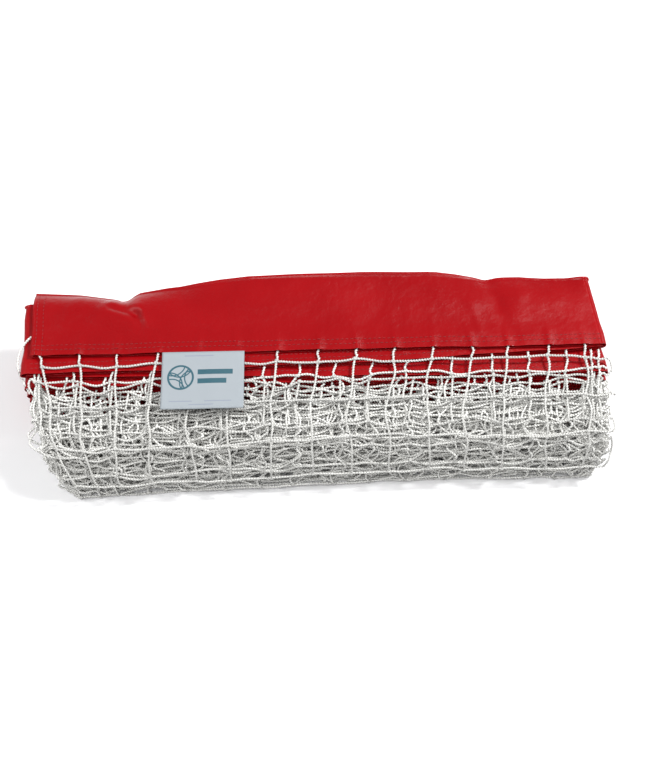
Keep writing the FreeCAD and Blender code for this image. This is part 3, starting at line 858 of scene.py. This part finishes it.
class Route:
    """Where one ply of netting runs, from its own hem to the floor, seen from the end."""

    def __init__(self, fold, inset, foot=None):
        self.fold, self.inset = fold, inset
        hem_y = HEM - (lean(fold) + lean(max(fold - 1, 1))) / 2 * (fold > 1)
        hem_z = LEVEL - (fold - 1) * PITCH
        radius = NOSE_RADIUS - inset
        slope_top = np.array(KNEE) + inset * np.array([-math.sin(SLOPE), -math.cos(SLOPE)]) * 0.97
        points = [(hem_y + 7, hem_z), (hem_y, hem_z)]
        if fold == 1 and inset < 2:
            points += [tuple(slope_top + (3, 0.2)), tuple(slope_top + (-3, -0.9))]
        else:
            lowest = CORE_Y + radius * math.cos(math.radians(104))
            meet = max(min(hem_y - 12 - 0.1 * inset, slope_top[0]), lowest + 2)
            points.append((hem_y - 3, hem_z - 0.3))
            if meet > lowest + 2:
                points.append((meet, slope_top[1] - math.tan(SLOPE) * (slope_top[0] - meet)))
        for angle in np.radians(np.linspace(104, 180, 12)):
            points.append((CORE_Y + radius * math.cos(angle), FOOT + radius * math.sin(angle)))
        foot = FOOT if foot is None else foot
        if foot < FOOT:
            round_toe = min(5.0, radius / 2)
            bulge = max(7.5 - 0.6 * (inset - 9), 0.0)
            points.append((CORE_Y - radius - 0.8 * bulge, FOOT - 5.5))
            for angle in np.radians(np.linspace(190, 270, 4)):
                points.append((CORE_Y - radius - bulge + round_toe + round_toe * math.cos(angle),
                               foot + round_toe + round_toe * math.sin(angle)))
        points = np.array(points)
        run = np.r_[0, np.cumsum(np.linalg.norm(np.diff(points, axis=0), axis=1))]
        even = np.arange(0, run[-1], 1.0)
        dense = np.column_stack([np.interp(even, run, points[:, i]) for i in range(2)])
        for _ in range(2):
            padded = np.pad(dense, ((5, 5), (0, 0)), mode="edge")
            padded[:5] = 2 * dense[0] - dense[5:0:-1]
            padded[-5:] = 2 * dense[-1] - dense[-2:-7:-1]
            dense = np.column_stack([np.convolve(padded[:, i], np.ones(11) / 11, "valid")
                                     for i in range(2)])
        along = np.r_[0, np.cumsum(np.linalg.norm(np.diff(dense, axis=0), axis=1))]
        self.along = along - 7.0  # nought at the hem
        self.points = dense
        slope = np.gradient(dense, axis=0)
        slope /= np.linalg.norm(slope, axis=1)[:, None]
        self.normals = np.column_stack([slope[:, 1], -slope[:, 0]])
        self.length = self.along[-1]

    def place(self, x, s, rise):
        """Points in space for places on the ply: X, distance from the hem, rise off the ply."""
        x, s, rise = np.broadcast_arrays(*(np.asarray(v, float) for v in (x, s, rise)))
        y, z, ny, nz = (np.interp(s, self.along, values)
                        for values in (*self.points.T, *self.normals.T))
        outer = s + (0 if self.fold == 1 else max(0.0, 145.0 - self.length))
        left = np.interp(outer, LEFT_S, LEFT_X)
        right = np.interp(outer, RIGHT_S, RIGHT_X)
        x = x + (left + SIDE) * np.clip((-195 - x) / (SIDE - 195), 0, 1.1)
        x = x + (right - SIDE) * np.clip((x - 235) / (SIDE - 235), 0, 1.1)
        askew = SKEW * np.clip((60 - x) / 300, 0, 1) * np.clip((outer - 20) / 100, 0, 1)
        return np.stack([x, y + ny * rise - askew, z + nz * rise], axis=-1)


def smooth_line(points, per_span=8):
    """A smooth line through points, by Catmull-Rom."""
    points = np.asarray(points, float)
    padded = np.vstack([2 * points[0] - points[1], points, 2 * points[-1] - points[-2]])
    t = np.linspace(0, 1, per_span, endpoint=False)[:, None]
    spans = []
    for i in range(len(points) - 1):
        a, b, c, d = padded[i:i + 4]
        spans.append(0.5 * (2 * b + (c - a) * t + (2 * a - 5 * b + 4 * c - d) * t ** 2
                            + (3 * b - a - 3 * c + d) * t ** 3))
    return np.vstack(spans + [points[-1:]])


class Ply:
    """One ply of square netting on a route: its crossings, then its cords.

    gather is the share of its full depth that the ply has been given: below 1 the cords between
    two rows are longer than the distance between them and bend sideways.
    """

    def __init__(self, route, columns, first_row, gather, seed, shift=0.0, loose=1.0, rows=None):
        self.route, self.random = route, np.random.default_rng(seed)
        mesh = settings().netting.mesh / MM
        last = route.length if rows is None else rows[-1]
        rows = [first_row] if rows is None else list(rows)
        while rows[-1] + mesh * gather < last - 2:
            rows.append(rows[-1] + mesh * gather * self.random.uniform(0.93, 1.07))
        self.rows, self.columns, self.last = np.array(rows), columns, last
        self.gather, self.loose, self.mesh = gather, loose, mesh
        shape = (len(rows), len(columns))
        r, c = np.meshgrid(self.rows, columns, indexing="ij")
        swing = -np.broadcast_to(shift, shape) * np.clip(r / 45, 0, 1)
        drift = np.cumsum(self.random.normal(0, 1.6 * loose, shape), axis=0) * 0.6
        self.x = c + swing + drift
        self.x[:, 0] = c[:, 0] + swing[:, 0] + 0.3 * drift[:, 0]
        self.s = r + self.random.normal(0, 1.6 * loose, shape) * (r > first_row) \
            + 1.2 * loose * wave_along(c, 130, seed)
        self.s[0] = first_row + self.random.normal(0, 0.9, shape[1]) \
            + 2.6 * wave_along(columns, 150, seed + 3)
        self.n = self.random.normal(0, 0.35, shape) * loose

    def verticals(self, from_hem=True):
        """Cords down through each column's crossings, from inside the hem or from the first row."""
        lines = []
        for j in range(len(self.columns)):
            xs, ss, ns = self.x[:, j], self.s[:, j], self.n[:, j]
            if from_hem:
                xs = np.r_[self.columns[j], self.columns[j], xs]
                ss, ns = np.r_[-6.0, 0.0, ss], np.r_[0.0, 0.0, ns]
            if self.last > ss[-1] + 6:
                xs, ss, ns = np.r_[xs, xs[-1]], np.r_[ss, self.last], np.r_[ns, 0.0]
            points = []
            for i in range(len(xs) - 1):
                t = np.linspace(0, 1, 13)[:-1]
                span = ss[i + 1] - ss[i]
                spare = math.sqrt(max(self.mesh * SLACK / max(span, 8.0) - 1.0, 0.0)) * (i > 1)
                lobes = self.random.choice([1, 1, 2, 2, 3]) if spare > 0.3 else 1
                sideways = min(2 / math.pi * span * spare, WIDEST) * self.random.choice([-1, 1]) \
                    * self.random.uniform(0.45, 1.0) / lobes
                extra = self.random.normal(0, 0.7 * self.loose) if i else 0.0
                bulge = np.sin(math.pi * lobes * t)
                second = np.sin(2 * math.pi * t) * self.random.normal(0, 0.8 * self.loose) * (i > 0)
                x = xs[i] + (xs[i + 1] - xs[i]) * t + (sideways + extra) * bulge + second
                s = ss[i] + span * t
                n = ns[i] + (ns[i + 1] - ns[i]) * t \
                    + bulge * self.random.normal(0, 0.5 * self.loose) * (i > 0)
                points.append(np.column_stack([x, s, n]))
            lines.append(self.cord(points, xs, ss, ns))
        return lines

    def horizontals(self, left=True):
        """Cords across every column's crossings; at a free end they stop at its first column."""
        lines = []
        for i in range(len(self.rows)):
            xs, ss, ns = self.x[i], self.s[i], self.n[i] + 0.5
            xs = np.r_[xs, SIDE + 3]
            ss = np.r_[ss, ss[-1] + self.random.normal(0, 1)]
            ns = np.r_[ns, ns[-1]]
            if left:
                xs = np.r_[-SIDE - 3, xs]
                ss = np.r_[ss[0] + self.random.normal(0, 1), ss]
                ns = np.r_[ns[0], ns]
            points = []
            for j in range(len(xs) - 1):
                t = np.linspace(0, 1, 9)[:-1]
                depth = self.random.normal(0.6, 1.1) * (self.loose + (1 - self.gather) * 4)
                bulge = np.sin(math.pi * t)
                ripple = np.sin(2 * math.pi * t) * self.random.normal(0, 0.7 * self.loose)
                points.append(np.column_stack([
                    xs[j] + (xs[j + 1] - xs[j]) * t,
                    ss[j] + (ss[j + 1] - ss[j]) * t + depth * bulge + ripple,
                    ns[j] + (ns[j + 1] - ns[j]) * t + bulge * self.random.normal(
                        0, 0.6 * self.loose)]))
            lines.append(self.cord(points, xs, ss, ns))
        return lines

    def cord(self, spans, *last):
        """One cord in space from the points of its spans and its end, its corners rounded."""
        points = np.vstack([*spans, [[values[-1] for values in last]]])
        soft = np.copy(points)
        soft[1:-1] = (points[:-2] + 2 * points[1:-1] + points[2:]) / 4
        return self.route.place(*soft.T)

    def crossings(self):
        """Where the cords cross, row by row."""
        return [self.route.place(self.x[i], self.s[i], self.n[i] + 0.3)
                for i in range(len(self.rows))]


# ---------------------------------------------------------------- netting pieces

# How far each of the front cords drifts to the left on its way down, and X of the second fold's
# cords, where they leave its hem.
FRONT_SWING = np.array([-9.0, -2.0, -2.0, 4.0, 6.0, 7.0, 8.0, 9.0, 8.0, 8.0, 8.0, 8.0, 8.0, 7.0,
                        5.0])
SECOND_X = np.array([-275.5, -237.4, -199.3, -159.5, -123.1, -87.0, -50.8, -14.7, 21.5, 56.7,
                     91.8, 133.5, 171.6, 208.1, 246.2])
DEEPEST = 1.6           # lowest middle of a cord over the floor
FINE_FOLDS = 6          # folds down to this one have their netting drawn finely
# A slack loop of the second fold's netting that shows past the front fold's free end.
END_LOOP = np.array([(-262, HEM + 30, 83.6), (-276, HEM + 26, 83.7), (-285, HEM + 18, 84.0),
                     (-291, HEM + 5, 82.5), (-292, HEM - 8, 78.0), (-287, HEM - 20, 73.0),
                     (-280, HEM - 32, 68.0)])


def columns(seed, shift, uneven):
    """X of a ply's cords where they leave their hem, with those that run down its two ends."""
    random = np.random.default_rng(seed)
    inner = np.clip(SECOND_X + shift + random.normal(0, uneven, len(SECOND_X)), -274, 262)
    ends = random.uniform(0, 5, 3)
    return np.r_[-280 + ends[0], inner, 268 + ends[1], 277 + ends[2] * 0.6]


def loops(first, second, side, reach, seed):
    """Cords that turn back at the netting's end, from the rows of one ply to those of the next."""
    random = np.random.default_rng(seed)
    made = []
    pick = -1 if side > 0 else 0
    for a, b in zip(first, second):
        start, end = a[pick], b[pick]
        out = reach * random.uniform(0.6, 1.3)
        droop = random.uniform(-3.0, 1.0)
        middle = (start + end) / 2 + [side * out, random.normal(0, 1.2), droop]
        quarter = (start * 3 + end) / 4 + [side * out * 0.75, random.normal(0, 0.8), 0.3]
        other = (start + end * 3) / 4 + [side * out * 0.75, random.normal(0, 0.8), droop * 0.5]
        made.append(smooth_line([start, quarter, middle, other, end], 6))
    return made


def on_floor(lines, lowest=DEEPEST):
    """The same lines, none lower than one that lies on the floor."""
    return [np.column_stack([line[:, :2], np.maximum(line[:, 2], lowest)]) for line in lines]


def front_plies():
    """The two plies that move with the front fold: a straight outer one and a gathered one."""
    seed = settings().netting.seed
    return (Ply(Route(1, 1.5), CORD_X, 12.0, 1.0, seed, shift=FRONT_SWING, rows=MESH_ROWS),
            Ply(Route(1, 4.9), np.r_[CORD_X[0] + 2, columns(11, 3.0, 3.0)[2:]], 30.0, 0.55,
                seed + 1, shift=6.0))


# Of the upper plies under the front ones: how far gathered, and the first row's distance from
# the hem.
UPPER_PLIES = {2: (0.80, 15.0), 3: (0.62, 13.0), 4: (0.52, 9.0), 5: (0.48, 8.0)}


def stack_plies():
    """The plies under the front ones by fold, from their own hems, each nearer the middle."""
    plies = {}
    for fold in range(2, FOLDS + 1):
        place = fold - 2
        inset = 9.0 + 2.9 * place if fold < 8 else 26.4 + 3.2 * (fold - 8)
        inset = min(inset, NOSE_RADIUS - 7)
        gather, first = UPPER_PLIES.get(fold, (0.55, 10.0))
        plies[fold] = Ply(
            Route(fold, inset, DEEPEST + 0.25 * place),
            columns(30 + fold, -8.0 * place, 1.0 + 1.2 * place), first, gather,
            settings().netting.seed + 10 * fold, shift=5.0, loose=1.0 + 0.35 * min(place, 4))
    plies[2].n[0] += 1.9  # its first row lies on the third fold's hem
    return plies


def returning_plies():
    """Two plies of each upper fold that come back up inside the gathered netting."""
    return [(fold, Ply(
        Route(fold, 10.2 + 2.9 * (fold - 2) + 1.4 * half, DEEPEST + 0.6 * (fold - 2) + half),
        columns(70 + 20 * half + fold, 19.0 - 7.0 * (fold - 2) + 12.0 * half, 3.0),
        26.0 + 7 * half, 0.45 - 0.04 * half, settings().netting.seed + 200 + fold + 40 * half,
        shift=4.0, loose=1.6)) for fold in range(2, FINE_FOLDS + 1) for half in (0, 1)]


def knot_shape():
    """A knot where two cords cross: a small wrapped loop."""
    major, minor, around, across = 1.25 * MM, 1.05 * MM, 8, 5
    points = []
    for i in range(around):
        a = 2 * math.pi * i / around
        lift = 0.35 * MM * math.sin(2 * a)
        for j in range(across):
            b = 2 * math.pi * j / across
            r = major + minor * math.cos(b)
            points.append((r * math.cos(a), r * math.sin(a), minor * math.sin(b) + lift))
    faces = []
    for i in range(around):
        for j in range(across):
            k, n = (i + 1) % around, (j + 1) % across
            faces.append((i * across + j, k * across + j, k * across + n, i * across + n))
    return plain_mesh("knot_shape", points, faces)


def knots(name, plies, material, shape):
    """A knot at every crossing of some plies, as one plain mesh."""
    places = np.vstack([row for ply in plies for row in ply.crossings()]) * MM
    return grown(name, plain_mesh("places", places.tolist()), tumbled_pieces(), material,
                 Piece=shape, Seed=settings().netting.seed)


# ---------------------------------------------------------------- label

def label_piece(material):
    """A thin woven label, slightly curled, with its own flat coordinates for the print."""
    thick = 0.35
    across, down = 41, 31
    u, v = np.meshgrid(np.linspace(0, 1, across), np.linspace(0, 1, down), indexing="ij")
    width, length = LABEL_HIGH[0] - LABEL_LOW[0], LABEL_FLAT[1]
    drop = (LABEL_HIGH[2] - LABEL_LOW[2] - thick) / length
    out = (1 - v) * length
    flat = np.stack([u * width, out], axis=-1)
    lift = 0.9 * (2 * u - 1) ** 2 * (out / length) ** 1.5 + 0.35 * wave(flat, 70, 4) \
        * np.clip(out / 12, 0, 1) + 0.7 * np.clip((out - 46) / 14, 0, 1) ** 2 \
        + 0.5 * np.exp(-((u - 0.62) / 0.16) ** 2) * np.clip(out / 30, 0, 1)
    x = LABEL_LOW[0] + u * width + 0.6 * (out / length) * (0.5 - u)
    y = LABEL_HIGH[1] - out * math.sqrt(1 - drop ** 2)
    z = LABEL_HIGH[2] - thick - out * drop + lift
    top = np.stack([x, y, z + thick], axis=-1).reshape(-1, 3)
    under = np.stack([x, y, z], axis=-1).reshape(-1, 3)
    count = across * down
    faces = [tuple(reversed(f)) for f in grid_faces(across, down)]
    faces += grid_faces(across, down, start=count)
    rim = [i * down for i in range(across)] + [(across - 1) * down + j for j in range(1, down)] \
        + [i * down + down - 1 for i in range(across - 2, -1, -1)] + list(range(down - 2, 0, -1))
    for a, b in zip(rim, rim[1:] + rim[:1]):
        faces.append((a, b, b + count, a + count))
    piece = finish_mesh("label_cloth", np.vstack([top, under]), faces, material)
    layer = piece.data.uv_layers.new(name="UVMap")
    own = np.column_stack([u.ravel(), v.ravel()])
    index = np.empty(len(piece.data.loops), int)
    piece.data.loops.foreach_get("vertex_index", index)
    coords = np.where((index < count)[:, None], own[index % count], own[index % count] + 10.0)
    layer.data.foreach_set("uv", coords.ravel())
    return piece


# ---------------------------------------------------------------- operators

def hand_over(piece, body, slot, *nodes):
    """Gives a piece to a body, or with no body bakes it in place, and hides the nodes that it
    replaces; the slot is not used.
    """
    if body is None:
        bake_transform(piece)
    else:
        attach(piece, body)
    if nodes:
        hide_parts(*nodes)


class FOLDED_NET_OT_headband(Operator):
    """Makes the vinyl headband: the front fold, its first turn and the folds under it"""
    bl_idname = "folded_net.headband"
    bl_label = "Headband"

    def execute(self, context):
        vinyl = vinyl_material()
        front = folded_strip("headband_front_fold", np.array(run_rings(
            1, spread(FREE_END, FRONT_END, 2.5), band_profile(24))), vinyl)
        turn = folded_strip("headband_turn_1", first_turn_rings(band_profile()), vinyl)
        stack = folded_strip("headband_lower_folds", stack_rings(band_profile(4, False)), vinyl)
        hand_over(front, FRONT, "vinyl", "headband_front")
        hand_over(turn, None, "vinyl", "headband_first_turn")
        hand_over(stack, STACK, "vinyl", "headband_stack")
        return {"FINISHED"}


class FOLDED_NET_OT_ropes(Operator):
    """Makes the head rope in the top edge and the cord in the hem"""
    bl_idname = "folded_net.ropes"
    bl_label = "Ropes"

    def execute(self, context):
        for node, slot, y, diameter, tint in (
                ("head_rope", "rope", BAND - BEAD, 0.0030, (0.74, 0.73, 0.70, 1.0)),
                ("selvedge_cord", "cord", SELVEDGE, 0.0028, None)):
            material = cord_material(node.replace("_", " ").capitalize(), tint=tint)
            turn = [fold_point(1, TURN_AXIS - 0.4, y, 0.0), *turn_line(1, y, 9),
                    fold_point(2, TURN_AXIS - 0.4, y, 0.0)]
            for part, body, line, facet in (
                    ("front", FRONT, fold_line(1, y, 4.0, ends=(4.0, 0.4)), 0.0016),
                    ("first_turn", None, turn, 0.0016),
                    ("stack", STACK, stack_line(y), 0.004)):
                piece = grown(f"{node}_{part}_run", curves_object([line]), twisted_cord(),
                              material, Cord_diameter=diameter, Lay_length=0.012,
                              Facet_length=facet, Strands=3, Strand_depth=ROPE_HOLLOW)
                hand_over(piece, body, slot, f"{node}_{part}")
        return {"FINISHED"}


class FOLDED_NET_OT_stitches(Operator):
    """Makes the rows of stitches along the hem and across the free end"""
    bl_idname = "folded_net.stitches"
    bl_label = "Stitches"

    def execute(self, context):
        material, shape = thread_material(), stitch_shape()
        for name, lines, body, nodes in (
                ("stitches_front", front_stitch_lines(), FRONT,
                 ("hem_thread_front", "end_thread_front")),
                ("stitches_lower_folds", on_floor(stack_stitch_lines(), LOWEST_STITCH), STACK,
                 ("hem_thread_stack",))):
            hand_over(stitched(name, lines, material, shape), body, "thread", *nodes)
        bpy.data.objects.remove(shape)
        return {"FINISHED"}


class FOLDED_NET_OT_netting(Operator):
    """Makes the netting: the front plies and the gathered plies under them"""
    bl_idname = "folded_net.netting"
    bl_label = "Netting"

    def execute(self, context):
        # Both cord materials paint shade into the hollows between strands: deep on the front
        # netting, lighter on the packed cords of the stack
        white = cord_material("Cord", hollow_shade=0.50)
        packed_lighter_shade = cord_material("Packed cord lighter shade", hollow_shade=0.72)
        outer, inner = front_plies()
        across, inner_across = outer.horizontals(False), inner.horizontals(False)
        cords = {"netting_front_outer": outer.verticals() + across,
                 "netting_front_inner": inner.verticals(False) + inner_across
                 + loops(across, inner_across, 1, 4.0, 21)}
        plies = stack_plies()
        rows = {fold: ply.horizontals() for fold, ply in plies.items()}
        for fold, ply in returning_plies():
            cords.setdefault(f"netting_return_{fold}", []).extend(
                ply.verticals(False) + ply.horizontals())
        for fold, ply in plies.items():
            lines = ply.verticals() + rows[fold]
            if fold < FOLDS:
                lines += loops(rows[fold], rows[fold + 1], 1 if fold % 2 else -1, 3.0, 50 + fold)
            if fold == 2:
                lines.append(smooth_line(END_LOOP))
            name = f"netting_fold_{fold}" if fold <= FINE_FOLDS else "netting_deep"
            cords.setdefault(name, []).extend(lines)
        nodes = {"netting_front_outer": ["netting_front_ply"],
                 "netting_fold_2": ["netting_bundle"]}
        for name, lines in cords.items():
            body, material = (FRONT, white) if "front" in name else (STACK, packed_lighter_shade)
            piece = rope_from(name, on_floor(lines), material, fine=name != "netting_deep")
            hand_over(piece, body, "cord", *nodes.get(name, ()))
        shape = knot_shape()
        upper = [ply for fold, ply in plies.items() if fold <= FINE_FOLDS]
        for name, body, knotted in (("knots_front", FRONT, (outer, inner)),
                                    ("knots_stack", STACK, upper)):
            hand_over(knots(name, knotted, white, shape), body, "cord")
        bpy.data.objects.remove(shape)
        return {"FINISHED"}


class FOLDED_NET_OT_label(Operator):
    """Makes the label that is sewn to the front hem"""
    bl_idname = "folded_net.label"
    bl_label = "Label"

    def execute(self, context):
        piece = label_piece(label_material())
        hand_over(piece, LABEL, "label", "label")
        return {"FINISHED"}


# The lights: name, place, the point it faces, watts and width.
LIGHTS = (("key", (2.0, 0.8, 2.8), (0, 0, 0.04), 135.0, 0.5),
          ("fill", (-2.2, 0.2, 2.2), (0, 0, 0.04), 36.0, 1.6),
          ("top", (-0.3, -0.8, 3.0), (0, 0, 0.05), 34.0, 1.0))
LENS, SENSOR = 47.6, 36.0              # millimetres
CAMERA_RISE, CAMERA_ROLL = math.radians(62.0), math.radians(-1.2)
AIM_ACROSS, AIM_DROP = 0.0063, 0.0361  # aim past the middle of the hem, and below it in view


class FOLDED_NET_OT_stage(Operator):
    """Makes the floor, the lights and the camera"""
    bl_idname = "folded_net.stage"
    bl_label = "Stage"

    def execute(self, context):
        stage, scene = settings().stage, context.scene
        mesh = bpy.data.meshes.new("floor")
        mesh.from_pydata([(-6, -6, 0), (6, -6, 0), (6, 6, 0), (-6, 6, 0)], [], [(0, 1, 2, 3)])
        material, tree, shader, grain = new_material("Floor", 300.0, 3.0, 0.01, 0.85, 0.05)
        give(tree, shader, {"Base Color": shaded(tree, stage.floor, grain["Shade"])})
        mesh.materials.append(material)
        placed("floor", mesh)
        scene.view_settings.view_transform = "Standard"
        scene.world = bpy.data.worlds.new("Studio")
        scene.world.use_nodes = True
        tree = scene.world.node_tree
        give(tree, tree.nodes["Background"], {"Color": (1, 1, 1, 1), "Strength": 0.40})
        for name, place, aim, energy, extent in LIGHTS:
            data = bpy.data.lights.new(name, "AREA")
            data.energy, data.size, data.shape = energy, extent, "SQUARE"
            lamp = placed(name, data)
            lamp.location = place
            lamp.rotation_euler = (Vector(aim) - Vector(place)).to_track_quat(
                "-Z", "Y").to_euler()
        data = bpy.data.cameras.new("camera")
        data.lens, data.sensor_width, data.sensor_fit = LENS, SENSOR, "AUTO"
        camera = placed("camera", data)
        up = Vector((0, math.sin(CAMERA_RISE), math.cos(CAMERA_RISE)))
        back = Vector((0, -math.cos(CAMERA_RISE), math.sin(CAMERA_RISE)))
        aim = Vector((AIM_ACROSS, HEM * MM, LEVEL * MM)) - up * AIM_DROP
        camera.location = aim + back * stage.distance
        camera.rotation_euler = (-back).to_track_quat("-Z", "Y").to_euler()
        camera.rotation_euler.rotate_axis("Z", CAMERA_ROLL)
        scene.camera = camera
        return {"FINISHED"}


class FOLDED_NET_PT_panel(Panel):
    """Lists the net's pieces in the sidebar"""
    bl_label = "Folded net"
    bl_idname = "FOLDED_NET_PT_panel"
    bl_space_type = "VIEW_3D"
    bl_region_type = "UI"
    bl_category = "Net"

    def draw(self, context):
        for step in STEPS:
            self.layout.operator(f"folded_net.{step}")


class NetSettings(PropertyGroup):
    """All the settings of the net."""
    headband: PointerProperty(type=HeadbandSettings)
    netting: PointerProperty(type=NettingSettings)
    label: PointerProperty(type=LabelSettings)
    stage: PointerProperty(type=StageSettings)


STEPS = ("headband", "ropes", "stitches", "netting", "label", "stage")
CLASSES = (HeadbandSettings, NettingSettings, LabelSettings, StageSettings, NetSettings,
           FOLDED_NET_OT_headband, FOLDED_NET_OT_ropes, FOLDED_NET_OT_stitches,
           FOLDED_NET_OT_netting, FOLDED_NET_OT_label, FOLDED_NET_OT_stage, FOLDED_NET_PT_panel)


def register():
    """Adds the net's settings, steps and panel to Blender."""
    for made in CLASSES:
        bpy.utils.register_class(made)
    bpy.types.Scene.folded_net = PointerProperty(type=NetSettings)


def unregister():
    """Takes the net's settings, steps and panel out of Blender."""
    del bpy.types.Scene.folded_net
    for made in reversed(CLASSES):
        bpy.utils.unregister_class(made)


def main():
    register()
    for step in STEPS:
        getattr(bpy.ops.folded_net, step)()


if __name__ == "__main__":
    main()
